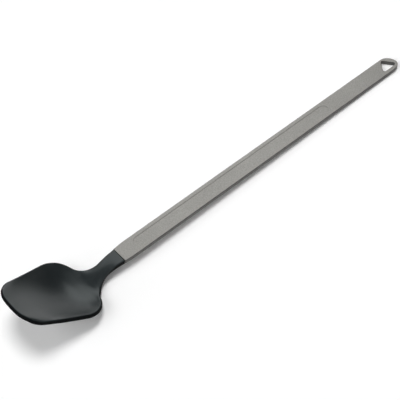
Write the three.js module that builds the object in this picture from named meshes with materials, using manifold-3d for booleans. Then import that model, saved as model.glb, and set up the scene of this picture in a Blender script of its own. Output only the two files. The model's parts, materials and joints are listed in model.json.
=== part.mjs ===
// Long-handled spoon: a flat aluminium handle bar with a nylon spoon head moulded round its tang.
// All sizes are in mm. The design frame has x = 0 at the seam between bar and head, +x towards the bar's
// far end, +y to one side and z = 0 on the bar's top face. The last step lays the spoon on its table.
import * as THREE from 'three';
import { mergeVertices } from 'three/examples/jsm/utils/BufferGeometryUtils.js';
import Module from 'manifold-3d';

// Handle bar
const HANDLE_LENGTH = 197; // from the seam to the tip of the far end
const HANDLE_WIDTH = 10;
const HANDLE_THICKNESS = 2.4;
const EDGE_BREAK = 0.3; // rounding of the bar's edges
const SEAM_WIDTH = 9.1; // width where the bar meets the head
const SEAM_TAPER = 7; // length over which the bar draws in to that width
const END_TIP_OFFSET = 1.4; // the tip lies this far to the -y side of the middle
const END_ROUND = 6; // length of the end's rounding along the bar

// Shallow recess in the bar's top face
const RECESS_START = 9.8; // from the seam
const RECESS_LENGTH = 133.7;
const RECESS_WIDTH = 5.8;
const RECESS_DEPTH = 0.2;

// Triangular hang hole
const HOLE_FROM_TIP = 6.4; // from the tip to the middle of the hole's long side
const HOLE_SIDE = 11; // long side, along the bar, before its corners are rounded
const HOLE_HEIGHT = 7.2; // across the bar, before its corners are rounded
const HOLE_EDGE = 2.2; // web between the long side and the bar's -y edge
const HOLE_CORNER = 1.1;

// Tang, inside the head's neck
const TANG_LENGTH = 12;
const TANG_WIDTH = 5;
const TANG_THICKNESS = 1;
const TANG_ROOT = 1; // how far the tang runs on into the bar
const TANG_HOLE = 2.2; // diameter
const TANG_HOLE_INSET = 3; // from the tang's end to the middle of its last hole
const TANG_HOLE_PITCH = 5;
const FIT_GAP = 0.3; // gap between bar and head all round the tang, in its holes and at the seam

// Spoon head, lengths from the seam
const HEAD_LENGTH = 60.5;
const NECK_COLLAR = 3; // flat length next to the seam
const NECK_PROUD = 0.3; // the neck is this much thicker than the bar
const NECK_CROWN = 0.7; // extra thickness along the middle of the neck's underside
const NECK_WIDTH = 8.3; // narrowest place
const NECK_WAIST_AT = 6.6;
const NECK_DIP_AT = 18.8;
const NECK_DIP = 3.7; // how far the neck's edges sink below the bar's top face
const NECK_HOLLOW = 0.5; // how far the neck's middle sinks below its edges there
const NECK_FALL = 0.45; // drop over run of the neck's middle there
const FLARE_FROM = 9.2; // where the neck starts to widen into the bowl
const NECK_CURVE = 13.7; // radius in plan of the hollow curve from neck to shoulder
const SHOULDER_CURVE = 9.6; // radius in plan of the shoulders
const BOWL_WIDTH = 37.3; // across the shoulders
const SIDE_ANGLE = 11.4; // degrees by which each side closes in towards the front
const CORNER_CURVE = 7.9; // radius in plan of the front corners
const CORNER_ANGLE = 49.5; // degrees at which the corners run into the front
const FRONT_BULGE = 3; // how far the front stands out beyond the corners
const BULGE_POWER = 6; // how late along the bowl that bulge grows
const BOTTOM_AT = 25; // lowest place of the bowl
const BOTTOM_DROP = 5;
const CLIMB_FROM = 24.8; // where the rim starts its climb to the tip
const CLIMB_DROP = 0.7; // depth of the rim below the bar's top face there
const TIP_RISE = 19.3; // height of the rim at the tip
const TIP_SLOPE = 0.7; // rise over run of the bowl's middle at the tip
const RIM_SAG = 1; // how far the climbing rim hangs below a straight line
const BOWL_ROUND = 2.2; // how round the bowl is across
const WALL = 2.2;
const RIM_ROUND = 0.7;

// Fineness of the surfaces
const ALONG = 46;
const ACROSS = 32;
const ROUND_STEPS = 3;
const CIRCLE_STEPS = 24;
const EDGE_STEPS = 2;
const TAPER_STEPS = 8;
const END_STEPS = 12;
const CORNER_STEPS = 6;
const TANG_STEPS = 12;
const WELD = 1e-4; // points closer than this are one point
const NUDGE = 0.01; // step for taking a slope
const INSIDE = 0.97; // normals are taken at this share of the way to the sides
const MOST_TILT = 0.3; // radians, more than the spoon ever needs to lie down
const HALVINGS = 40;
const THROUGH = 4; // cutters are this many times as tall as the neck they pass through

const HALF_PI = Math.PI / 2;
const DEGREE = Math.PI / 180;
const SIDE_TURN = SIDE_ANGLE * DEGREE;
const CORNER_TURN = CORNER_ANGLE * DEGREE;
const FLARE_TURN = Math.acos(1 - (BOWL_WIDTH - NECK_WIDTH) / (2 * (NECK_CURVE + SHOULDER_CURVE)));

// Distances from the seam at which the curves of the head's outline meet.
const SHOULDER_FROM = FLARE_FROM + NECK_CURVE * Math.sin(FLARE_TURN);
const SHOULDER_AT = SHOULDER_FROM + SHOULDER_CURVE * Math.sin(FLARE_TURN);
const SIDE_FROM = SHOULDER_AT + SHOULDER_CURVE * Math.sin(SIDE_TURN);
const FRONT_AT = HEAD_LENGTH - FRONT_BULGE - RIM_ROUND;
const CORNER_MIDDLE = FRONT_AT - CORNER_CURVE * Math.sin(CORNER_TURN);
const CORNER_FROM = CORNER_MIDDLE + CORNER_CURVE * Math.sin(SIDE_TURN);

const CLIMB_RUN = HEAD_LENGTH - CLIMB_FROM;
const CLIMB_SLOPE = (TIP_RISE + CLIMB_DROP) / CLIMB_RUN;
const SAG_SLOPE = (4 * RIM_SAG) / CLIMB_RUN; // taken off the slope at the start and added at the tip

const wasm = await Module();
wasm.setup();
const { Manifold, Mesh } = wasm;

// A closed three.js geometry as a solid for cutting and joining.
function solidOf(geometry) {
  const bare = new THREE.BufferGeometry();
  bare.setAttribute('position', geometry.getAttribute('position'));
  bare.setIndex(geometry.getIndex());
  const welded = mergeVertices(bare, WELD);
  const mesh = new Mesh({
    numProp: 3,
    vertProperties: new Float32Array(welded.getAttribute('position').array),
    triVerts: new Uint32Array(welded.getIndex().array),
  });
  mesh.merge();
  return new Manifold(mesh);
}

// The solid back as a three.js geometry.
function geometryOf(solid) {
  const mesh = solid.getMesh();
  const geometry = new THREE.BufferGeometry();
  geometry.setAttribute('position', new THREE.BufferAttribute(new Float32Array(mesh.vertProperties), 3));
  geometry.setIndex(new THREE.BufferAttribute(new Uint32Array(mesh.triVerts), 1));
  geometry.computeVertexNormals();
  return geometry;
}

// An S-shaped step from 0 to 1.
function step(u) {
  const c = Math.min(1, Math.max(0, u));
  return c * c * (3 - 2 * c);
}

// A smooth profile through stations of distance, height and slope.
function profile(stations, d) {
  let k = 0;
  while (k < stations.length - 2 && d > stations[k + 1].at) {
    k += 1;
  }
  const a = stations[k];
  const b = stations[k + 1];
  const span = b.at - a.at;
  const u = Math.min(1, Math.max(0, (d - a.at) / span));
  const u2 = u * u;
  const u3 = u2 * u;
  const from = a.height * (2 * u3 - 3 * u2 + 1) + span * a.slope * (u3 - 2 * u2 + u);
  const to = b.height * (3 * u2 - 2 * u3) + span * b.slope * (u3 - u2);
  return from + to;
}

// Height of the head's middle line, d from the seam.
function keelHeight(d) {
  const stations = [
    { at: NECK_COLLAR, height: 0, slope: 0 },
    { at: NECK_DIP_AT, height: -NECK_DIP - NECK_HOLLOW, slope: -NECK_FALL },
    { at: BOTTOM_AT, height: -BOTTOM_DROP, slope: 0 },
    { at: HEAD_LENGTH, height: TIP_RISE, slope: TIP_SLOPE },
  ];
  return profile(stations, d);
}

// Height of the head's rim, d from the seam.
function rimHeight(d) {
  const stations = [
    { at: NECK_COLLAR, height: 0, slope: 0 },
    { at: NECK_DIP_AT, height: -NECK_DIP, slope: 0 },
    { at: CLIMB_FROM, height: -CLIMB_DROP, slope: CLIMB_SLOPE - SAG_SLOPE },
    { at: HEAD_LENGTH, height: TIP_RISE, slope: CLIMB_SLOPE + SAG_SLOPE },
  ];
  return profile(stations, d);
}

// Height of a circle above its middle, t to one side of it.
function arc(radius, t) {
  return Math.sqrt(radius * radius - t * t);
}

// Half the width of the head's top surface, d from the seam; the rounded rim lies outside it.
// The outline is a waisted neck, a hollow curve, a round shoulder, a straight side and a round corner.
function halfWidth(d) {
  const toWaist = Math.max(0, 1 - d / NECK_WAIST_AT);
  const neck = (NECK_WIDTH + (SEAM_WIDTH - NECK_WIDTH) * toWaist * toWaist) / 2;
  const between = (from, to) => Math.min(Math.max(d, from), to);
  const hollow = NECK_CURVE - arc(NECK_CURVE, between(FLARE_FROM, SHOULDER_FROM) - FLARE_FROM);
  const shoulderBase = SHOULDER_CURVE * Math.cos(FLARE_TURN);
  const shoulder = arc(SHOULDER_CURVE, between(SHOULDER_FROM, SIDE_FROM) - SHOULDER_AT) - shoulderBase;
  const side = Math.tan(SIDE_TURN) * (between(SIDE_FROM, CORNER_FROM) - SIDE_FROM);
  const cornerTop = CORNER_CURVE * Math.cos(SIDE_TURN);
  const corner = cornerTop - arc(CORNER_CURVE, between(CORNER_FROM, FRONT_AT) - CORNER_MIDDLE);
  return neck + hollow + shoulder - side - corner - RIM_ROUND;
}

// Thickness of the head, d from the seam and v across.
function thickness(d, v) {
  const neck = HANDLE_THICKNESS + NECK_PROUD;
  const toBowl = step((d - FLARE_FROM) / (BOTTOM_AT - FLARE_FROM));
  const crown = NECK_CROWN * step(d / NECK_WAIST_AT) * (1 - toBowl);
  return neck + (WALL - neck) * toBowl + crown * (1 - v * v);
}

// The front's outline leaves the corners without a kink.
const FRONT_SQUARENESS = halfWidth(FRONT_AT) / (FRONT_BULGE * Math.tan(CORNER_TURN));

// A point on the head's top surface: d runs to the ends of the sides, v from -1 to 1 across.
function topPoint(d, v) {
  const bulge = FRONT_BULGE * (d / FRONT_AT) ** BULGE_POWER;
  const reach = d + bulge * (1 - Math.abs(v) ** FRONT_SQUARENESS);
  const middle = keelHeight(d + bulge);
  const z = middle + (rimHeight(reach) - middle) * Math.abs(v) ** BOWL_ROUND;
  return new THREE.Vector3(-reach, v * halfWidth(d), z);
}

// The upward normal of that surface, taken a little inside its edges.
function topNormal(d, v) {
  const dIn = Math.min(d, FRONT_AT - 2 * RIM_ROUND);
  const vIn = INSIDE * v;
  const along = topPoint(dIn + NUDGE, vIn).sub(topPoint(Math.max(0, dIn - NUDGE), vIn));
  const across = topPoint(dIn, vIn + NUDGE).sub(topPoint(dIn, vIn - NUDGE));
  return new THREE.Vector3().crossVectors(across, along).normalize();
}

// The head as one closed shell: top surface, underside and a rounded rim between them.
function headShell() {
  const positions = [];
  const triangles = [];
  const add = (p) => positions.push(p.x, p.y, p.z) / 3 - 1;
  const face = (a, b, c) => triangles.push(a, b, c);
  const quad = (a, b, c, e) => {
    face(a, b, c);
    face(a, c, e);
  };

  const grid = [];
  for (let i = 0; i <= ALONG; i += 1) {
    grid.push([]);
    for (let j = 0; j <= ACROSS; j += 1) {
      const d = FRONT_AT * (i / ALONG);
      const v = Math.sin(HALF_PI * ((2 * j) / ACROSS - 1));
      const point = topPoint(d, v);
      const normal = topNormal(d, v);
      const deep = thickness(d, v);
      const below = point.clone().addScaledVector(normal, -deep);
      grid[i].push({ point, normal, deep, top: add(point), under: add(below) });
    }
  }
  for (let i = 0; i < ALONG; i += 1) {
    for (let j = 0; j < ACROSS; j += 1) {
      const [a, b, c, e] = [grid[i][j], grid[i][j + 1], grid[i + 1][j + 1], grid[i + 1][j]];
      quad(a.top, b.top, c.top, e.top);
      quad(a.under, e.under, c.under, b.under);
    }
  }

  // The rim runs from the seam along one side, over the front and back along the other side.
  const chain = [];
  for (let i = 0; i <= ALONG; i += 1) {
    chain.push(grid[i][0]);
  }
  for (let j = 1; j < ACROSS; j += 1) {
    chain.push(grid[ALONG][j]);
  }
  for (let i = ALONG; i >= 0; i -= 1) {
    chain.push(grid[i][ACROSS]);
  }
  const strips = chain.map((node, k) => {
    const atSeam = k === 0 || k === chain.length - 1;
    const before = chain[Math.max(0, k - 1)].point;
    const after = chain[Math.min(chain.length - 1, k + 1)].point;
    const run = atSeam ? new THREE.Vector3(k === 0 ? -1 : 1, 0, 0) : after.clone().sub(before);
    const outward = new THREE.Vector3().crossVectors(node.normal, run).setLength(RIM_ROUND);
    const place = (turn, drop) => {
      const p = node.point.clone().addScaledVector(outward, Math.sin(turn));
      return add(p.addScaledVector(node.normal, -drop));
    };
    const turns = Array.from({ length: ROUND_STEPS }, (_, n) => (HALF_PI * (n + 1)) / ROUND_STEPS);
    const upper = turns.map((turn) => place(turn, RIM_ROUND * (1 - Math.cos(turn))));
    const lower = turns.map((turn) => place(turn, node.deep - RIM_ROUND * (1 - Math.cos(turn))));
    return [node.top, ...upper, ...lower.reverse(), node.under];
  });
  for (let c = 0; c < strips.length - 1; c += 1) {
    for (let k = 0; k < strips[c].length - 1; k += 1) {
      quad(strips[c][k], strips[c + 1][k], strips[c + 1][k + 1], strips[c][k + 1]);
    }
  }

  // The flat end at the seam.
  const first = strips[0];
  const last = strips[strips.length - 1];
  for (let j = 0; j < ACROSS; j += 1) {
    quad(grid[0][j].top, grid[0][j].under, grid[0][j + 1].under, grid[0][j + 1].top);
  }
  for (let k = 1; k < first.length - 1; k += 1) {
    face(first[0], first[k], first[k + 1]);
    face(last[0], last[k + 1], last[k]);
  }

  const geometry = new THREE.BufferGeometry();
  geometry.setAttribute('position', new THREE.BufferAttribute(new Float32Array(positions), 3));
  geometry.setIndex(triangles);
  return geometry.translate(-FIT_GAP, 0, 0);
}

// The tang's form, grown by a gap on every side; it follows the middle of the neck.
function tangForm(gap) {
  const upper = [];
  const lower = [];
  const length = TANG_LENGTH + gap;
  for (let k = 0; k <= TANG_STEPS; k += 1) {
    const d = (length * k) / TANG_STEPS;
    const middle = keelHeight(d) - thickness(d, 0) / 2;
    upper.push(new THREE.Vector2(-d, middle + TANG_THICKNESS / 2 + gap));
    lower.push(new THREE.Vector2(-d, middle - TANG_THICKNESS / 2 - gap));
  }
  upper.unshift(new THREE.Vector2(TANG_ROOT, upper[0].y));
  lower.unshift(new THREE.Vector2(TANG_ROOT, lower[0].y));
  const shape = new THREE.Shape([...upper.reverse(), ...lower]);
  const depth = TANG_WIDTH + 2 * gap;
  const geometry = new THREE.ExtrudeGeometry(shape, { depth, bevelEnabled: false });
  return geometry.rotateX(HALF_PI).translate(0, depth / 2, 0);
}

// Round bars through the tang's holes.
function tangRounds(diameter) {
  const last = TANG_LENGTH - TANG_HOLE_INSET;
  return [last, last - TANG_HOLE_PITCH].map((d) => {
    const tall = THROUGH * (HANDLE_THICKNESS + NECK_CROWN);
    const round = new THREE.CylinderGeometry(diameter / 2, diameter / 2, tall, CIRCLE_STEPS);
    return solidOf(round.rotateX(HALF_PI).translate(-d, 0, keelHeight(d) - thickness(d, 0) / 2));
  });
}

// Outline of the bar seen from above.
function barOutline() {
  const half = HANDLE_WIDTH / 2;
  const seam = SEAM_WIDTH / 2;
  const side = [];
  for (let k = 0; k <= TAPER_STEPS; k += 1) {
    const u = k / TAPER_STEPS;
    side.push(new THREE.Vector2(SEAM_TAPER * u, seam + (half - seam) * Math.sin(HALF_PI * u)));
  }
  const end = [];
  for (let k = -END_STEPS; k <= END_STEPS; k += 1) {
    const turn = (HALF_PI * k) / END_STEPS;
    const wide = k < 0 ? half - END_TIP_OFFSET : half + END_TIP_OFFSET;
    const x = HANDLE_LENGTH - END_ROUND * (1 - Math.cos(turn));
    end.push(new THREE.Vector2(x, wide * Math.sin(turn) - END_TIP_OFFSET));
  }
  const near = side.map((p) => new THREE.Vector2(p.x, -p.y));
  return new THREE.Shape([...near, ...end, ...side.reverse()]);
}

// Outline of the hang hole: a triangle with round corners.
function holeOutline() {
  const middle = HANDLE_LENGTH - HOLE_FROM_TIP;
  const base = HOLE_EDGE - HANDLE_WIDTH / 2;
  const corners = [
    new THREE.Vector2(middle - HOLE_SIDE / 2, base),
    new THREE.Vector2(middle + HOLE_SIDE / 2, base),
    new THREE.Vector2(middle, base + HOLE_HEIGHT),
  ];
  const points = [];
  corners.forEach((corner, k) => {
    const before = corners[(k + 2) % 3].clone().sub(corner).normalize();
    const after = corners[(k + 1) % 3].clone().sub(corner).normalize();
    const half = Math.acos(before.dot(after)) / 2;
    const sense = -Math.sign(before.cross(after));
    const centre = before.clone().add(after).setLength(HOLE_CORNER / Math.sin(half)).add(corner);
    const start = before.multiplyScalar(HOLE_CORNER / Math.tan(half)).add(corner).sub(centre);
    const sweep = Math.PI - 2 * half;
    for (let s = 0; s <= CORNER_STEPS; s += 1) {
      const turn = (sense * sweep * s) / CORNER_STEPS;
      points.push(start.clone().rotateAround(new THREE.Vector2(), turn).add(centre));
    }
  });
  return new THREE.Path(points);
}

// Outline of the recess: a long slot with round ends.
function recessOutline() {
  const radius = RECESS_WIDTH / 2;
  const shape = new THREE.Shape();
  shape.absarc(RECESS_START + radius, 0, radius, HALF_PI, 3 * HALF_PI, false);
  shape.absarc(RECESS_START + RECESS_LENGTH - radius, 0, radius, -HALF_PI, HALF_PI, false);
  return shape;
}

function handleSolid() {
  const outline = barOutline();
  outline.holes.push(holeOutline());
  const bar = new THREE.ExtrudeGeometry(outline, {
    depth: HANDLE_THICKNESS - 2 * EDGE_BREAK,
    bevelThickness: EDGE_BREAK,
    bevelSize: EDGE_BREAK,
    bevelOffset: -EDGE_BREAK,
    bevelSegments: EDGE_STEPS,
  }).translate(0, 0, EDGE_BREAK - HANDLE_THICKNESS);
  const recess = new THREE.ExtrudeGeometry(recessOutline(), {
    depth: 2 * RECESS_DEPTH,
    bevelEnabled: false,
    curveSegments: CIRCLE_STEPS,
  }).translate(0, 0, -RECESS_DEPTH);
  let solid = solidOf(bar).subtract(solidOf(recess)).add(solidOf(tangForm(0)));
  tangRounds(TANG_HOLE).forEach((hole) => {
    solid = solid.subtract(hole);
  });
  return solid;
}

function headSolid() {
  let pocket = solidOf(tangForm(FIT_GAP));
  tangRounds(TANG_HOLE - 2 * FIT_GAP).forEach((post) => {
    pocket = pocket.subtract(post);
  });
  return solidOf(headShell()).subtract(pocket);
}

// Lay the spoon on the table: it rests on the bowl and on the bar's far end.
function lowest(geometry, matrix, fromX) {
  const points = geometry.getAttribute('position');
  const p = new THREE.Vector3();
  let low = Infinity;
  for (let k = 0; k < points.count; k += 1) {
    p.fromBufferAttribute(points, k);
    if (p.x >= fromX) {
      low = Math.min(low, p.applyMatrix4(matrix).z);
    }
  }
  return low;
}

function layDown(head, handle) {
  let less = 0;
  let more = MOST_TILT;
  const tilt = new THREE.Matrix4();
  for (let k = 0; k < HALVINGS; k += 1) {
    const turn = (less + more) / 2;
    tilt.makeRotationY(turn);
    if (lowest(head, tilt, -Infinity) < lowest(handle, tilt, HANDLE_LENGTH / 2)) {
      less = turn;
    } else {
      more = turn;
    }
  }
  head.applyMatrix4(tilt);
  handle.applyMatrix4(tilt);
  const box = new THREE.Box3().setFromBufferAttribute(head.getAttribute('position'));
  box.union(new THREE.Box3().setFromBufferAttribute(handle.getAttribute('position')));
  const middle = box.getCenter(new THREE.Vector3());
  head.translate(-middle.x, -middle.y, -box.min.z);
  handle.translate(-middle.x, -middle.y, -box.min.z);
}

const headGeometry = geometryOf(headSolid());
const handleGeometry = geometryOf(handleSolid());
layDown(headGeometry, handleGeometry);

const aluminium = new THREE.MeshStandardMaterial({ color: 0x9a9a95, metalness: 0.8, roughness: 0.5 });
const nylon = new THREE.MeshStandardMaterial({ color: 0x2c2c2e, metalness: 0, roughness: 0.55 });

const handleBar = new THREE.Mesh(handleGeometry, aluminium);
handleBar.name = 'handle_bar';
const spoonHead = new THREE.Mesh(headGeometry, nylon);
spoonHead.name = 'spoon_head';

const spoon = new THREE.Group();
spoon.name = 'long_handled_spoon';
spoon.add(handleBar, spoonHead);

export default spoon;
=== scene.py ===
# %% [markdown]
# # A long-handled spoon
# The spoon is two pieces. A flat aluminium bar, bead-blasted and grey, is the handle. A charcoal nylon head
# is moulded round the bar's end and carries the bowl. This lesson loads the packed solids as a fixed frame,
# rebuilds both pieces with finer surfaces in the same places, and gives them their finishes, light and
# camera.

# %% Load the frame
import json
import math

import bmesh
import bpy
from mathutils import Matrix, Vector


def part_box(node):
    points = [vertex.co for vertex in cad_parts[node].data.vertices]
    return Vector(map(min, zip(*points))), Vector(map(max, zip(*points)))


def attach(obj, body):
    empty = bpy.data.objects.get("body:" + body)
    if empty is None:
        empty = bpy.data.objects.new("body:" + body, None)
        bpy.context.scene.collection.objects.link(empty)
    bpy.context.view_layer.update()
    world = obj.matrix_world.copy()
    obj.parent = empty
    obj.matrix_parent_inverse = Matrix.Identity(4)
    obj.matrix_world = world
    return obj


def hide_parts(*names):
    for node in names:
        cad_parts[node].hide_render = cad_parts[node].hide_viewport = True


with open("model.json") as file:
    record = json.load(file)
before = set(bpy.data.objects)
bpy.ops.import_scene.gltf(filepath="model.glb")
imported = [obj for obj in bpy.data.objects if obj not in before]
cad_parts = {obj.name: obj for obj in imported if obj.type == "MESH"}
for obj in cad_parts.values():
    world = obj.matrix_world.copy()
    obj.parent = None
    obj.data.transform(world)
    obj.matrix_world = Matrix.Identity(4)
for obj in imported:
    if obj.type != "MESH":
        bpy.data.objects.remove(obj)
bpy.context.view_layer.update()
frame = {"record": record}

# %% [markdown]
# ## From the maker's frame to the table
# Both pieces are easiest to describe in the maker's frame: x = 0 at the seam between bar and head, +x along
# the bar, z = 0 on the bar's top face. On the table the spoon lies a little tilted, on its bowl and the
# bar's far end. Guessing that tilt would slowly drift away from the solids, so it is read from the packed
# record: the mount on the bar's top face gives the face's normal, and the bar's box gives its far end.

# %% Sizes of the bar, in metres
BAR_LENGTH = 0.197
BAR_WIDTH = 0.010
BAR_THICKNESS = 0.0024
SOLID_EDGE_ROUND = 0.0003
BAR_EDGE_ROUND = 0.0002
SEAM_WIDTH = 0.0091
SEAM_TAPER = 0.007
SEAM_GAP = 0.0003

# %% The matrix that lays the spoon down
top_mount = next(m for m in frame["record"]["mounts"] if m["name"] == "handle_top")
top_normal = Vector(top_mount["axis"]).normalized()
tilt = math.asin(top_normal.x)
far_end = BAR_LENGTH * math.cos(tilt) - SOLID_EDGE_ROUND * math.sin(tilt)
seam_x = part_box("handle_bar")[1].x - far_end
seam_z = (top_normal.dot(Vector(top_mount["pos_m"])) - top_normal.x * seam_x) / top_normal.z
lay_down = Matrix.Translation((seam_x, 0, seam_z)) @ Matrix.Rotation(tilt, 4, "Y")
print("tilt:", round(math.degrees(tilt), 3), "degrees, seam at", round(seam_x, 5), round(seam_z, 5))

# %% [markdown]
# ## Node maths as plain expressions
# Both the bowl's shape and the finishes are formulas. Wiring a formula by hand takes dozens of Math nodes,
# so one small class wraps a socket: a sum or product of two wires adds the Math node for it. Every other
# node comes from one method, which sets the node's own options first and then its sockets.

# %% A wire in a node tree
class Wire:
    """An output socket. Arithmetic on it adds Math nodes to its tree."""

    def __init__(self, socket):
        self.socket = socket

    @classmethod
    def node(cls, tree, kind, inputs=None, output=0, **settings):
        """Add a node of a kind: options first, then values or links of its inputs. Gives one output."""
        made = tree.nodes.new(kind)
        for name, value in settings.items():
            setattr(made, name, value)
        for name, value in (inputs or {}).items():
            for one in value if isinstance(value, list) else [value]:
                if isinstance(one, Wire):
                    tree.links.new(one.socket, made.inputs[name])
                else:
                    made.inputs[name].default_value = one
        return cls(made.outputs[output])

    def math(self, operation, *others):
        values = dict(enumerate((self, *others)))
        return Wire.node(self.socket.id_data, "ShaderNodeMath", values, operation=operation)

    def reflected(self, operation, other):
        values = {0: other, 1: self}
        return Wire.node(self.socket.id_data, "ShaderNodeMath", values, operation=operation)

    def vector(self, operation, other):
        values = {0: self, 1: other}
        return Wire.node(self.socket.id_data, "ShaderNodeVectorMath", values, operation=operation)

    def scaled(self, factor):
        values = {"Vector": self, "Scale": factor}
        return Wire.node(self.socket.id_data, "ShaderNodeVectorMath", values, operation="SCALE")

    def clamped(self):
        return Wire.node(self.socket.id_data, "ShaderNodeClamp", {"Value": self})

    def __add__(self, other):
        return self.math("ADD", other)

    def __sub__(self, other):
        return self.math("SUBTRACT", other)

    def __rsub__(self, other):
        return self.reflected("SUBTRACT", other)

    def __mul__(self, other):
        return self.math("MULTIPLY", other)

    def __truediv__(self, other):
        return self.math("DIVIDE", other)

    def __pow__(self, power):
        return self.math("POWER", power)

    def __neg__(self):
        return self.math("MULTIPLY", -1)

    def __abs__(self):
        return self.math("ABSOLUTE")

    __radd__ = __add__
    __rmul__ = __mul__


print("wire operators:", [name for name in vars(Wire) if name.startswith("__r")])

# %% [markdown]
# ## Nylon finish
# The head is nylon straight from the mould: a cool charcoal, satin, with a faint cloudiness and a fine
# spark-eroded grain. The grain is far too fine to model, so a Bump node carries it; the cloudiness changes
# colour and roughness; and a Mix Shader brings in painted shade, a darker and less glossy skin, along the
# side of the rim by an attribute of the mesh. The rest is read in Object coordinates, so the pattern stays
# on the piece when it is moved or exported.

# %% Start a finish
def start_finish(name):
    """A new material: its tree, its shader and its Object coordinates."""
    finish = bpy.data.materials.new(name)
    finish.use_nodes = True
    tree = finish.node_tree
    shader = tree.nodes["Principled BSDF"]
    place = Wire.node(tree, "ShaderNodeTexCoord", output="Object")
    return finish, tree, shader, place


def noise(tree, place, per_metre, detail):
    """Soft noise from 0 to 1, with about per_metre blotches to the metre."""
    inputs = {"Vector": place, "Scale": per_metre, "Detail": detail}
    return Wire.node(tree, "ShaderNodeTexNoise", inputs, output="Fac")


def mix_colours(tree, share, low, high):
    """A colour between two others."""
    inputs = {0: share, 6: (*low, 1), 7: (*high, 1)}
    return Wire.node(tree, "ShaderNodeMix", inputs, output=2, data_type="RGBA")


def sway(pattern, amount):
    """A pattern of 0 to 1, swung evenly about nothing by an amount."""
    return (pattern - 0.5) * amount


def plug(tree, shader, socket, wire):
    """Feed a wire into one of the shader's sockets."""
    tree.links.new(wire.socket, shader.inputs[socket])


print("finish helpers:", [helper.__name__ for helper in (start_finish, noise, mix_colours, sway, plug)])

# %% Nylon
NYLON_DARK = (0.0062, 0.0092, 0.0104)
NYLON_LIGHT = (0.0096, 0.0136, 0.0150)
NYLON_SHEEN = (0.93, 1.0, 1.0, 1)
NYLON_ROUGHNESS = 0.34
NYLON_IOR = 1.58
NYLON_GRAIN = 5200
NYLON_CLOUDS = 130
NYLON_BUMP = {"Strength": 0.25, "Distance": 0.00003}
# Painted shade on the side of the rim: a darker colour and weaker gloss, mixed in by the rim's mark.
RIM_SHADE_MARK = "rim"
RIM_PAINTED_SHADE = {"Base Color": (0.0035, 0.0043, 0.0046, 1), "Roughness": 0.6, "IOR": 1.12}


def add_rim_painted_shade(tree, shader, rim):
    """Mix in painted shade on the rim's side: a darker, less glossy skin."""
    painted_shade_shader = Wire.node(tree, "ShaderNodeBsdfPrincipled", RIM_PAINTED_SHADE)
    rim_with_shade = Wire.node(tree, "ShaderNodeMixShader", {0: rim, 1: Wire(shader.outputs[0]), 2: painted_shade_shader})
    tree.links.new(rim_with_shade.socket, tree.nodes["Material Output"].inputs["Surface"])


def make_nylon():
    finish, tree, shader, place = start_finish("charcoal_nylon")
    rim = Wire.node(tree, "ShaderNodeAttribute", output="Fac", attribute_name=RIM_SHADE_MARK)
    grain = noise(tree, place, NYLON_GRAIN, 2)
    clouds = noise(tree, place, NYLON_CLOUDS, 4)
    share = (0.5 + sway(clouds, 0.9) + sway(grain, 0.5)).clamped()
    plug(tree, shader, "Base Color", mix_colours(tree, share, NYLON_DARK, NYLON_LIGHT))
    plug(tree, shader, "Roughness", NYLON_ROUGHNESS + sway(clouds, 0.08) + sway(grain, 0.1))
    plug(tree, shader, "Normal", Wire.node(tree, "ShaderNodeBump", {"Height": grain, **NYLON_BUMP}))
    shader.inputs["IOR"].default_value = NYLON_IOR
    shader.inputs["Specular Tint"].default_value = NYLON_SHEEN
    add_rim_painted_shade(tree, shader, rim)
    return finish


nylon = make_nylon()
print("nylon nodes:", len(nylon.node_tree.nodes))

# %% [markdown]
# ## The head's surface as a rule
# The head runs from a flat neck into a broad bowl whose rim climbs to the front. One could push a
# subdivision cage about until it looks right, but the solids already follow a rule: a height along the
# middle, a height along the rim and a width, each a function of the distance from the seam. Geometry Nodes
# can work that rule out at every point of a grid, so the fine surface agrees with the solid and every size
# stays a named input that can be changed later.

# %% Sizes of the head, in metres
HEAD_SIZES = {
    "Head Length": 0.0605,
    "Bar Thickness": BAR_THICKNESS,
    "Seam Width": SEAM_WIDTH,
    "Neck Collar": 0.003,
    "Neck Proud": 0.0003,
    "Neck Crown": 0.0007,
    "Neck Width": 0.0083,
    "Neck Waist At": 0.0066,
    "Neck Dip At": 0.0188,
    "Neck Dip": 0.0037,
    "Neck Hollow": 0.0005,
    "Neck Fall": 0.45,
    "Flare From": 0.0092,
    "Neck Curve": 0.0137,
    "Shoulder Curve": 0.0096,
    "Bowl Width": 0.0373,
    "Side Angle": math.radians(11.4),
    "Corner Curve": 0.0079,
    "Corner Angle": math.radians(49.5),
    "Front Bulge": 0.003,
    "Bulge Power": 6.0,
    "Bottom At": 0.025,
    "Bottom Drop": 0.005,
    "Climb From": 0.0248,
    "Climb Drop": 0.0007,
    "Tip Rise": 0.0193,
    "Tip Slope": 0.7,
    "Rim Sag": 0.001,
    "Bowl Round": 2.2,
    "Wall": 0.0022,
    "Rim Round": 0.0007,
    "Seam Gap": SEAM_GAP,
    "Along": 120,
    "Across": 72,
    "Round Steps": 6,
    "Edge Rows": 10,
    "Edge Columns": 14,
}


def start_tree(name, sizes):
    """A geometry tree with a named input for each size, and those inputs as wires."""
    tree = bpy.data.node_groups.new(name, "GeometryNodeTree")
    tree.interface.new_socket("Geometry", in_out="OUTPUT", socket_type="NodeSocketGeometry")
    for label, value in sizes.items():
        kind = "NodeSocketInt" if isinstance(value, int) else "NodeSocketFloat"
        tree.interface.new_socket(label, in_out="INPUT", socket_type=kind)
    given = tree.nodes.new("NodeGroupInput")
    return tree, {socket.name: Wire(socket) for socket in given.outputs if socket.name}


head_tree, size = start_tree("spoon_head_rule", HEAD_SIZES)
print("head inputs:", len(size))

# %% [markdown]
# ### Heights and widths
# A smooth profile through a few stations is a row of cubic pieces. Each piece is written so that it adds
# nothing before its start and its full rise after its end, so the pieces can simply be summed, with no
# switch between them.

# %% Profile, step and the three lines of the head
def soft_step(u):
    """An S-shaped step from 0 to 1."""
    c = u.clamped()
    return c * c * (3 - 2 * c)


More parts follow.
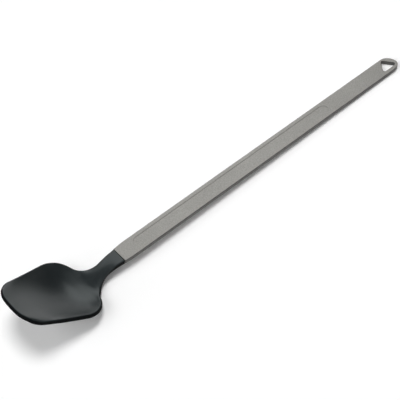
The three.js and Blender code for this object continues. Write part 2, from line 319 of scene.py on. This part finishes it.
def profile(d, stations):
    """A smooth height through stations of distance, height and slope."""
    height = 0
    for (start, low, slope_in), (end, high, slope_out) in zip(stations, stations[1:]):
        span = end - start
        u = ((d - start) / span).clamped()
        rest = 1 - u
        climb = (high - low) * (u * u * (3 - 2 * u))
        height = height + climb + span * (slope_in * u * rest * rest - slope_out * u * u * rest)
    return height


climb_run = size["Head Length"] - size["Climb From"]
climb_slope = (size["Tip Rise"] + size["Climb Drop"]) / climb_run
sag_slope = 4 * size["Rim Sag"] / climb_run


def keel_height(d):
    """Height of the head's middle line."""
    dip = -(size["Neck Dip"] + size["Neck Hollow"])
    return profile(d, [
        (size["Neck Collar"], 0, 0),
        (size["Neck Dip At"], dip, -size["Neck Fall"]),
        (size["Bottom At"], -size["Bottom Drop"], 0),
        (size["Head Length"], size["Tip Rise"], size["Tip Slope"]),
    ])


def rim_height(d):
    """Height of the head's rim."""
    return profile(d, [
        (size["Neck Collar"], 0, 0),
        (size["Neck Dip At"], -size["Neck Dip"], 0),
        (size["Climb From"], -size["Climb Drop"], climb_slope - sag_slope),
        (size["Head Length"], size["Tip Rise"], climb_slope + sag_slope),
    ])


def thickness(d, v):
    """Thickness of the head: a stout neck with a crowned underside, and a thinner bowl."""
    neck = size["Bar Thickness"] + size["Neck Proud"]
    to_bowl = soft_step((d - size["Flare From"]) / (size["Bottom At"] - size["Flare From"]))
    crown = size["Neck Crown"] * soft_step(d / size["Neck Waist At"]) * (1 - to_bowl)
    return neck + (size["Wall"] - neck) * to_bowl + crown * (1 - v * v)


print("keel, rim and thickness are ready")

# %% [markdown]
# ### The outline in plan
# Seen from above, the outline is what one would draw with compasses: a waisted neck, a hollow curve, a
# round shoulder, a straight side and a round corner, each running on from the last without a kink. A
# clamped distance makes each part grow only along its own stretch, so the parts can be summed as the
# heights were.

# %% Where the curves meet, and the width
side_turn = size["Side Angle"]
corner_turn = size["Corner Angle"]
curves = size["Neck Curve"] + size["Shoulder Curve"]
flare_turn = (1 - (size["Bowl Width"] - size["Neck Width"]) / (2 * curves)).math("ARCCOSINE")
shoulder_from = size["Flare From"] + size["Neck Curve"] * flare_turn.math("SINE")
shoulder_at = shoulder_from + size["Shoulder Curve"] * flare_turn.math("SINE")
side_from = shoulder_at + size["Shoulder Curve"] * side_turn.math("SINE")
front_at = size["Head Length"] - size["Front Bulge"] - size["Rim Round"]
corner_middle = front_at - size["Corner Curve"] * corner_turn.math("SINE")
corner_from = corner_middle + size["Corner Curve"] * side_turn.math("SINE")


def arc(radius, t):
    """Height of a circle above its middle, t to one side of it."""
    return (radius * radius - t * t).math("SQRT")


def between(d, start, end):
    return d.math("MAXIMUM", start).math("MINIMUM", end)


def half_width(d):
    """Half the width of the top surface; the rounded rim lies outside it."""
    to_waist = (1 - d / size["Neck Waist At"]).clamped()
    neck = (size["Neck Width"] + (size["Seam Width"] - size["Neck Width"]) * to_waist * to_waist) / 2
    flared = between(d, size["Flare From"], shoulder_from) - size["Flare From"]
    hollow = size["Neck Curve"] - arc(size["Neck Curve"], flared)
    shoulder = arc(size["Shoulder Curve"], between(d, shoulder_from, side_from) - shoulder_at)
    shoulder = shoulder - size["Shoulder Curve"] * flare_turn.math("COSINE")
    side = side_turn.math("TANGENT") * (between(d, side_from, corner_from) - side_from)
    corner = size["Corner Curve"] * side_turn.math("COSINE")
    corner = corner - arc(size["Corner Curve"], between(d, corner_from, front_at) - corner_middle)
    return neck + hollow + shoulder - side - corner - size["Rim Round"]


front_squareness = half_width(front_at) / (size["Front Bulge"] * corner_turn.math("TANGENT"))
print("outline nodes so far:", len(head_tree.nodes))

# %% [markdown]
# ### The top surface
# A grid's points are numbered row by row, and a point keeps its number when it moves. So row and column
# come from the Index, not from the position, and the same wires stay true after Set Position. Columns are
# spaced by a sine, which puts more of them near the rim, where the surface turns fastest.

# %% Top surface
columns = size["Across"] + 1


def add(kind, inputs=None, output=0, **settings):
    """A node in the head's tree."""
    return Wire.node(head_tree, kind, inputs, output, **settings)


def row_and_column(index, per_row):
    """Row and column of a point by its number; half a point more keeps rounding from losing a row."""
    row = ((index + 0.5) / per_row).math("FLOOR")
    return row, index - row * per_row


row, column = row_and_column(add("GeometryNodeInputIndex"), columns)
distance = front_at * (1 - row / size["Along"])
across = (math.pi * (column / size["Across"] - 0.5)).math("SINE")
bulge = size["Front Bulge"] * (distance / front_at) ** size["Bulge Power"]
reach = distance + bulge * (1 - abs(across) ** front_squareness)
middle = keel_height(distance + bulge)
height = middle + (rim_height(reach) - middle) * abs(across) ** size["Bowl Round"]
place = add("ShaderNodeCombineXYZ", {
    "X": -(reach + size["Seam Gap"]),
    "Y": across * half_width(distance),
    "Z": height,
})
flat_grid = add("GeometryNodeMeshGrid", {"Vertices X": size["Along"] + 1, "Vertices Y": columns})
top = add("GeometryNodeSetPosition", {"Geometry": flat_grid, "Position": place})
print("top surface nodes so far:", len(head_tree.nodes))

# %% [markdown]
# ### Underside and rounded rim
# The underside is the same grid pushed down along the surface's normals by the wall's thickness. Right at
# the edge of a grid normals are poor, because half of their neighbours are missing, so they are read a few
# rows inside. The rim is a second grid, a strip that runs along one side, round the front and back along
# the other side; each of its points looks up the edge point it belongs to by number, and a half round is
# swept over it.

# %% Underside
def sample(value, index, kind):
    """A value of the top surface at the point with that number."""
    inputs = {"Geometry": top, "Value": value, "Index": index}
    return add("GeometryNodeSampleIndex", inputs, data_type=kind, domain="POINT")


surface_normal = add("GeometryNodeInputNormal")
surface_point = add("GeometryNodeInputPosition")


def normal_inside(row, column):
    """The surface's normal, read a few rows in from the edges."""
    row_in = row.math("MAXIMUM", size["Edge Rows"])
    column_in = column.math("MAXIMUM", size["Edge Columns"])
    column_in = column_in.math("MINIMUM", size["Across"] - size["Edge Columns"])
    return sample(surface_normal, row_in * columns + column_in, "FLOAT_VECTOR")


depth = thickness(distance, across)
push = normal_inside(row, column).scaled(-depth)
lowered = add("GeometryNodeSetPosition", {"Geometry": top, "Offset": push})
under = add("GeometryNodeFlipFaces", {"Mesh": lowered})
print("underside nodes so far:", len(head_tree.nodes))

# %% Rounded rim
RIM_SIDE_FROM = math.radians(25)
RIM_SIDE_OVER = math.radians(45)

strip_length = 2 * size["Along"] + size["Across"]
strip_columns = 2 * size["Round Steps"] + 2
link, turn_step = row_and_column(add("GeometryNodeInputIndex"), strip_columns)


def edge_row_and_column(link):
    """Row and column of the edge point that a link of the strip belongs to."""
    from_seam = link.math("MINIMUM", strip_length - link).math("MINIMUM", size["Along"])
    column = (link - size["Along"]).math("MAXIMUM", 0).math("MINIMUM", size["Across"])
    return size["Along"] - from_seam, column


def edge_point(link):
    row, column = edge_row_and_column(link)
    return sample(surface_point, row * columns + column, "FLOAT_VECTOR")


edge_row, edge_column = edge_row_and_column(link)
edge_normal = normal_inside(edge_row, edge_column)
edge_depth = sample(depth, edge_row * columns + edge_column, "FLOAT")
before = edge_point((link - 1).math("MAXIMUM", 0))
after = edge_point((link + 1).math("MINIMUM", strip_length))
along = after.vector("SUBTRACT", before)
outward = edge_normal.vector("CROSS_PRODUCT", along).vector("NORMALIZE", (0, 0, 0))
from_face = turn_step.math("MINIMUM", strip_columns - 1 - turn_step)
turn = math.pi / 2 * (from_face / size["Round Steps"])
sink = size["Rim Round"] * (1 - turn.math("COSINE"))
lower_half = turn_step.math("GREATER_THAN", size["Round Steps"] + 0.5)
drop = sink + lower_half * (edge_depth - 2 * sink)
stand_out = outward.scaled(size["Rim Round"] * turn.math("SINE"))
round_point = edge_point(link).vector("ADD", stand_out).vector("SUBTRACT", edge_normal.scaled(drop))
flat_strip = add("GeometryNodeMeshGrid", {"Vertices X": strip_length + 1, "Vertices Y": strip_columns})
bent_strip = add("GeometryNodeSetPosition", {"Geometry": flat_strip, "Position": round_point})
# The mark for the painted shade on the rim's side: none on top of the round, full on its side and beneath.
painted_shade_share = soft_step((turn - RIM_SIDE_FROM) / RIM_SIDE_OVER).math("MAXIMUM", lower_half)
mark = {"Geometry": bent_strip, "Name": RIM_SHADE_MARK, "Value": painted_shade_share}
rim = add("GeometryNodeStoreNamedAttribute", mark, data_type="FLOAT", domain="POINT")
print("head nodes:", len(head_tree.nodes))

# %% [markdown]
# ### From tree to mesh
# The three sheets are joined and welded, and the tree ends in Realize Instances and Set Material. The
# result is then taken out as a plain mesh. One thing is left to mesh code: the flat end at the seam is
# still open, and filling a ring of edges is one call there.

# %% Close the tree and take the mesh out
WELD = 1e-6
SHARP_EDGE = math.radians(50)


def end_tree(tree, geometry, material):
    whole = Wire.node(tree, "GeometryNodeRealizeInstances", {"Geometry": geometry})
    dressed = Wire.node(tree, "GeometryNodeSetMaterial", {"Geometry": whole, "Material": material})
    out = tree.nodes.new("NodeGroupOutput")
    tree.links.new(dressed.socket, out.inputs["Geometry"])


def grown_mesh(name, tree, sizes):
    """The tree's result for these sizes, as a plain mesh."""
    seed = bpy.data.objects.new(name + "_seed", bpy.data.meshes.new(name + "_seed"))
    bpy.context.scene.collection.objects.link(seed)
    rule = seed.modifiers.new("rule", "NODES")
    rule.node_group = tree
    for item in tree.interface.items_tree:
        if item.in_out == "INPUT":
            rule[item.identifier] = sizes[item.name]
    evaluated = seed.evaluated_get(bpy.context.evaluated_depsgraph_get())
    mesh = bpy.data.meshes.new_from_object(evaluated)
    bpy.data.objects.remove(seed)
    return mesh


def finish_mesh(name, mesh):
    """Close what is open, turn the faces outwards, lay the piece on the table and make its object."""
    work = bmesh.new()
    work.from_mesh(mesh)
    bmesh.ops.remove_doubles(work, verts=work.verts, dist=WELD)
    bmesh.ops.holes_fill(work, edges=[e for e in work.edges if e.is_boundary])
    bmesh.ops.recalc_face_normals(work, faces=work.faces)
    bmesh.ops.triangulate(work, faces=[f for f in work.faces if len(f.verts) > 4])
    for face in work.faces:
        face.smooth = True
    work.to_mesh(mesh)
    work.free()
    mesh.set_sharp_from_angle(angle=SHARP_EDGE)
    mesh.transform(lay_down)
    mesh.name = name
    piece = bpy.data.objects.new(name, mesh)
    bpy.context.scene.collection.objects.link(piece)
    return piece


sheets = add("GeometryNodeJoinGeometry", {"Geometry": [top, under, rim]})
end_tree(head_tree, add("GeometryNodeMergeByDistance", {"Geometry": sheets, "Distance": WELD}), nylon)
head = finish_mesh("nylon_head", grown_mesh("nylon_head", head_tree, HEAD_SIZES))
print("head:", len(head.data.vertices), "points,", len(head.data.polygons), "faces")

# %% [markdown]
# ## Blasted aluminium
# The bar is cut from sheet, blasted with fine glass beads and anodised grey. Beads leave overlapping
# dimples of a few tenths of a millimetre, which scatter reflections into a soft sheen. A Voronoi pattern
# gives the dimples to a Bump node, and a fine noise breaks up colour and roughness. The walls round the
# bar and in its hole get painted shade: the mesh carries an attribute that mixes in a darker grey there,
# standing in for the shade these walls take from the floor they mirror.

# %% Aluminium
METAL_DARK = (0.280, 0.275, 0.260)
METAL_LIGHT = (0.392, 0.386, 0.366)
# Painted shade: a darker grey for the walls round the bar and in its hole.
WALL_PAINTED_SHADE = (0.115, 0.114, 0.110)
METAL_ROUGHNESS = 0.5
METAL_DIMPLES = 3600
METAL_GRAIN = 1800
METAL_CLOUDS = 90
METAL_BUMP = {"Strength": 0.3, "Distance": 0.00004}
DIMPLE_SMOOTHNESS = 0.5
WALL_SHADE_MARK = "edge"


def make_aluminium():
    finish, tree, shader, place = start_finish("blasted_aluminium")
    edge = Wire.node(tree, "ShaderNodeAttribute", output="Fac", attribute_name=WALL_SHADE_MARK)
    grain = noise(tree, place, METAL_GRAIN, 3)
    clouds = noise(tree, place, METAL_CLOUDS, 4)
    cells = {"Vector": place, "Scale": METAL_DIMPLES, "Smoothness": DIMPLE_SMOOTHNESS}
    dimples = Wire.node(tree, "ShaderNodeTexVoronoi", cells, output="Distance", feature="SMOOTH_F1")
    share = (0.5 + sway(grain, 2.2) + sway(clouds, 0.5)).clamped()
    face = mix_colours(tree, share, METAL_DARK, METAL_LIGHT)
    # Painted shade: the walls' mark mixes in the darker grey.
    inputs = {0: edge, 6: face, 7: (*WALL_PAINTED_SHADE, 1)}
    colour = Wire.node(tree, "ShaderNodeMix", inputs, output=2, data_type="RGBA")
    plug(tree, shader, "Base Color", colour)
    plug(tree, shader, "Roughness", METAL_ROUGHNESS + sway(grain, 0.12))
    plug(tree, shader, "Normal", Wire.node(tree, "ShaderNodeBump", {"Height": dimples, **METAL_BUMP}))
    shader.inputs["Metallic"].default_value = 1.0
    return finish


aluminium = make_aluminium()
print("aluminium nodes:", len(aluminium.node_tree.nodes))

# %% [markdown]
# ## The handle bar
# The bar is a flat blank with a rounded, slightly lopsided end, a triangular hang hole and a long shallow
# recess. It could be cut with booleans and bevelled after, but bevels on boolean cuts often break. Here
# each outline is a list of points, and a wall is a row of copies of it, each moved in or out a little and
# set at its own height, so round edges come for free. They are a little tighter than the plain solid's,
# because a wider round catches the light and makes the bar look thinner. The flat faces between the
# outlines are filled last.

# %% Outlines of the bar
END_TIP_OFFSET = 0.0014
END_ROUND = 0.006
RECESS_START = 0.0098
RECESS_LENGTH = 0.1337
RECESS_WIDTH = 0.0058
HOLE_FROM_TIP = 0.0064
HOLE_SIDE = 0.011
HOLE_HEIGHT = 0.0072
HOLE_WEB = 0.0022
HOLE_CORNER = 0.0011
ROUND_POINTS = 24
TAPER_POINTS = 12  # steps longer than a ring's inset, so that no ring folds at the seam's corners


def bar_outline():
    """The blank seen from above, anticlockwise."""
    half = BAR_WIDTH / 2
    seam = SEAM_WIDTH / 2
    shares = [k / TAPER_POINTS for k in range(TAPER_POINTS + 1)]
    side = [Vector((SEAM_TAPER * u, seam + (half - seam) * math.sin(math.pi / 2 * u))) for u in shares]
    end = []
    for k in range(-ROUND_POINTS, ROUND_POINTS + 1):
        turn = math.pi / 2 * k / ROUND_POINTS
        wide = half - END_TIP_OFFSET if k < 0 else half + END_TIP_OFFSET
        x = BAR_LENGTH - END_ROUND * (1 - math.cos(turn))
        end.append(Vector((x, wide * math.sin(turn) - END_TIP_OFFSET)))
    near = [Vector((p.x, -p.y)) for p in side]
    return near + end + side[::-1]


def hole_outline():
    """The hang hole, a triangle with round corners, clockwise."""
    middle = BAR_LENGTH - HOLE_FROM_TIP
    base = HOLE_WEB - BAR_WIDTH / 2
    corners = [
        Vector((middle - HOLE_SIDE / 2, base)),
        Vector((middle, base + HOLE_HEIGHT)),
        Vector((middle + HOLE_SIDE / 2, base)),
    ]
    points = []
    for k, corner in enumerate(corners):
        back = (corners[k - 1] - corner).normalized()
        ahead = (corners[(k + 1) % 3] - corner).normalized()
        half = back.angle(ahead) / 2
        centre = corner + (back + ahead).normalized() * HOLE_CORNER / math.sin(half)
        spoke = corner + back * HOLE_CORNER / math.tan(half) - centre
        for s in range(ROUND_POINTS + 1):
            turn = Matrix.Rotation(-(math.pi - 2 * half) * s / ROUND_POINTS, 2)
            points.append(centre + turn @ spoke)
    return points


def recess_outline():
    """The recess, a long slot with round ends, clockwise."""
    radius = RECESS_WIDTH / 2
    points = []
    for middle, first in ((RECESS_START + radius, 270), (RECESS_START + RECESS_LENGTH - radius, 90)):
        for k in range(ROUND_POINTS + 1):
            turn = math.radians(first - 180 * k / ROUND_POINTS)
            points.append(Vector((middle + radius * math.cos(turn), radius * math.sin(turn))))
    return points


print("outline points:", len(bar_outline()), len(hole_outline()), len(recess_outline()))

# %% Walls between rings
RECESS_DEPTH = 0.00016
RECESS_LIP = 0.00008
FLAT_BORDER = 0.00015
EDGE_STEPS = 5
WALL_SHADE_TURN = math.radians(36)


def moved_in(outline, inset):
    """The outline moved to its left by inset, with mitred corners."""
    moved = []
    for k, point in enumerate(outline):
        before = (point - outline[k - 1]).normalized()
        after = (outline[(k + 1) % len(outline)] - point).normalized()
        left = Vector((-before.y - after.y, before.x + after.x))
        moved.append(point + left * inset / (1 + before.dot(after)))
    return moved


def quarter(radius):
    """A quarter round from the flat face to the wall: inset, drop and share of painted wall shade."""
    turns = [math.pi / 2 * k / EDGE_STEPS for k in range(EDGE_STEPS + 1)]
    shares = [min(1.0, t / WALL_SHADE_TURN) for t in turns]
    return [(radius * (1 - math.sin(t)), radius * (1 - math.cos(t)), s) for t, s in zip(turns, shares)]


def edge_rings():
    """Rings of a wall through the bar: inset, height and share of painted wall shade."""
    top = [(inset, -drop, share) for inset, drop, share in quarter(BAR_EDGE_ROUND)]
    low = [(inset, drop - BAR_THICKNESS, share) for inset, drop, share in reversed(quarter(BAR_EDGE_ROUND))]
    border = BAR_EDGE_ROUND + FLAT_BORDER
    return [(border, 0, 0.0), *top, *low, (border, -BAR_THICKNESS, 0.0)]


def recess_rings():
    """Rings of the recess: a rounded lip above, a rounded root below, and no painted shade."""
    lip = [(inset, -drop, 0.0) for inset, drop, _ in quarter(RECESS_LIP)]
    root = [(-inset, drop - RECESS_DEPTH, 0.0) for inset, drop, _ in reversed(quarter(RECESS_LIP))]
    border = RECESS_LIP + FLAT_BORDER
    return [(border, 0, 0.0), *lip, *root, (-border, -RECESS_DEPTH, 0.0)]


print("rings:", len(edge_rings()), "through the bar,", len(recess_rings()), "in the recess")

# %% Build the bar
def add_wall(work, wall_shade_layer, outline, rings):
    """Bridge the rings of a wall and give back its first and last ring of edges."""
    loops = []
    for inset, height, share in rings:
        loop = [work.verts.new((p.x, p.y, height)) for p in moved_in(outline, inset)]
        # Each point carries its share of painted wall shade.
        for point in loop:
            point[wall_shade_layer] = share
        loops.append(loop)
    count = len(outline)
    for upper, lower in zip(loops, loops[1:]):
        for k in range(count):
            n = (k + 1) % count
            work.faces.new((upper[k], lower[k], lower[n], upper[n]))
    ends = (loops[0], loops[-1])
    return [[work.edges.get((loop[k], loop[k - 1])) for k in range(count)] for loop in ends]


def bar_mesh():
    mesh = bpy.data.meshes.new("aluminium_bar")
    work = bmesh.new()
    wall_shade_layer = work.verts.layers.float.new(WALL_SHADE_MARK)
    outer_top, outer_low = add_wall(work, wall_shade_layer, bar_outline(), edge_rings())
    hole_top, hole_low = add_wall(work, wall_shade_layer, hole_outline(), edge_rings())
    recess_top, recess_floor = add_wall(work, wall_shade_layer, recess_outline(), recess_rings())
    for edges in (outer_top + hole_top + recess_top, outer_low + hole_low, recess_floor):
        bmesh.ops.triangle_fill(work, use_beauty=True, edges=edges, normal=(0, 0, 1))
    work.to_mesh(mesh)
    work.free()
    mesh.materials.append(aluminium)
    return mesh


bar = finish_mesh("aluminium_bar", bar_mesh())
print("bar:", len(bar.data.vertices), "points,", len(bar.data.polygons), "faces")

# %% [markdown]
# ## Pieces on the frame
# Nothing on the spoon moves, so there is one body, root. Each fine piece rides on it and stands for its
# plain solid, which is hidden.

# %% Ride and replace
for piece, node, slot in ((bar, "handle_bar", "handle_metal"), (head, "spoon_head", "head_nylon")):
    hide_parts(node)
    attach(piece, "root")
    print(piece.name, "stands for", node)

# %% [markdown]
# ## Floor and light
# The spoon lies on a plain white floor in soft light. The light has two jobs: the floor has to come out
# white with a soft shadow, and the metal and the nylon need something pale to mirror, because a glossy
# piece shows its surroundings. One could hunt for a single big lamp that does both. Here the jobs are
# split: two distant soft lamps light what is matt, and pale cards, a broad one behind the spoon and weaker
# ones round it, show in reflections alone. Gaps between the cards give the dark bands in the bowl and on
# the neck. The floor also glows a little to the camera and in reflections, which makes it white without
# more light on the spoon.

# %% Floor
FLOOR_HALF = 3.0
FLOOR_COLOUR = (0.93, 0.93, 0.93, 1)
FLOOR_LIFT = (0.11, 0.11, 0.11)
SEEN_BY = ("Is Camera Ray", "Is Glossy Ray", "Is Transmission Ray")


def make_floor():
    reach = FLOOR_HALF
    mesh = bpy.data.meshes.new("floor")
    corners = [(-reach, -reach, 0), (reach, -reach, 0), (reach, reach, 0), (-reach, reach, 0)]
    mesh.from_pydata(corners, [], [(0, 1, 2, 3)])
    finish, tree, shader, _ = start_finish("white_floor")
    shader.inputs["Base Color"].default_value = FLOOR_COLOUR
    shader.inputs["Roughness"].default_value = 1.0
    shader.inputs["Specular IOR Level"].default_value = 0.0
    shader.inputs["Emission Strength"].default_value = 1.0
    rays = [Wire.node(tree, "ShaderNodeLightPath", output=seen) for seen in SEEN_BY]
    seen = (rays[0] + rays[1] + rays[2]).clamped()
    plug(tree, shader, "Emission Color", mix_colours(tree, seen, (0, 0, 0), FLOOR_LIFT))
    mesh.materials.append(finish)
    floor = bpy.data.objects.new("floor", mesh)
    bpy.context.scene.collection.objects.link(floor)
    return floor


floor = make_floor()
print("floor:", floor.dimensions[:])

# %% Stands for lamps
def toward(turn, rise):
    """A direction from the spoon: degrees round from +x, and degrees above the table."""
    turn, rise = math.radians(turn), math.radians(rise)
    return Vector((math.cos(rise) * math.cos(turn), math.cos(rise) * math.sin(turn), math.sin(rise)))


def stand_up(name, lamp, direction, away):
    """Put a lamp up in a direction, facing the spoon and out of the camera's sight."""
    stand = bpy.data.objects.new(name, lamp)
    stand.location = direction * away
    stand.rotation_euler = direction.to_track_quat("Z", "Y").to_euler()
    stand.visible_camera = False
    bpy.context.scene.collection.objects.link(stand)
    return stand


print("straight up:", [round(c, 3) for c in toward(turn=0, rise=90)])

# %% Cards that show in reflections
RING_TURNS = (146, 196, 246, 296)


def add_card(name, direction, away, size, watts):
    """A pale card, wide by high, that shows in reflections alone."""
    lamp = bpy.data.lights.new(name, "AREA")
    lamp.shape = "RECTANGLE"
    lamp.size, lamp.size_y = size
    lamp.energy = watts
    card = stand_up(name, lamp, direction, away)
    card.visible_diffuse = False
    return card


cards = [
    add_card("back_panel", toward(turn=64, rise=44), away=1.0, size=(1.12, 0.74), watts=4.5),
    add_card("low_card", toward(turn=48, rise=12), away=1.0, size=(0.81, 0.39), watts=0.85),
    add_card("top_card", toward(turn=0, rise=90), away=1.0, size=(0.5, 0.5), watts=0.4),
]
for ring_turn in RING_TURNS:
    aim = toward(ring_turn, rise=22)
    cards.append(add_card(f"ring_card_{ring_turn}", aim, away=1.2, size=(1.1, 0.8), watts=2.2))
print("cards:", [card.name for card in cards])

# %% Lamps for what is matt
LAMP_AWAY = 2.0


def add_soft_lamp(name, direction, spread, strength):
    """A distant lamp, spread degrees wide, that lights matt surfaces alone."""
    lamp = bpy.data.lights.new(name, "SUN")
    lamp.angle = math.radians(spread)
    lamp.energy = strength
    stand = stand_up(name, lamp, direction, LAMP_AWAY)
    stand.visible_glossy = False
    return stand


soft_lamps = [
    add_soft_lamp("overhead", toward(turn=60, rise=80), spread=24, strength=1.72),
    add_soft_lamp("left_lamp", toward(turn=165, rise=38), spread=50, strength=1.65),
]
print("soft lamps:", [lamp.name for lamp in soft_lamps])

# %% World
FILL = 0.11

world = bpy.data.worlds.new("studio")
world.use_nodes = True
fill = world.node_tree.nodes["Background"]
fill.inputs["Color"].default_value = (1, 1, 1, 1)
fill.inputs["Strength"].default_value = FILL
bpy.context.scene.world = world
bpy.context.scene.view_settings.view_transform = "Standard"
print("fill:", FILL)

# %% [markdown]
# ## Camera
# The photograph looks down on the spoon from the front left of the bowl, with a long lens that hardly
# narrows the far end. The view was found by fitting a camera to the bar's straight edges, so it is given as
# an angle round the spoon, an angle above the bar and a distance, all in the maker's frame.

# %% Camera
VIEW_TURN = math.radians(41.84)
VIEW_RISE = math.radians(52.62)
VIEW_AWAY = 0.5506
VIEW_TARGET = Vector((0.05111, -0.0013, 0.00015))
FRAME_PIXELS = 400
FOCAL_PIXELS = 1100
SENSOR_MM = 36.0
NEAREST = 0.01

back = Vector((
    -math.cos(VIEW_RISE) * math.sin(VIEW_TURN),
    -math.cos(VIEW_RISE) * math.cos(VIEW_TURN),
    math.sin(VIEW_RISE),
))
right = Vector((math.cos(VIEW_TURN), -math.sin(VIEW_TURN), 0))
look = Matrix((right, back.cross(right), back)).transposed().to_4x4()
lens = bpy.data.cameras.new("camera")
lens.sensor_width = SENSOR_MM
lens.lens = SENSOR_MM * FOCAL_PIXELS / FRAME_PIXELS
lens.clip_start = NEAREST
camera = bpy.data.objects.new("camera", lens)
camera.matrix_world = lay_down @ Matrix.Translation(VIEW_TARGET + back * VIEW_AWAY) @ look
bpy.context.scene.collection.objects.link(camera)
bpy.context.scene.camera = camera
print("camera at", [round(c, 4) for c in camera.location], "lens", lens.lens, "mm")
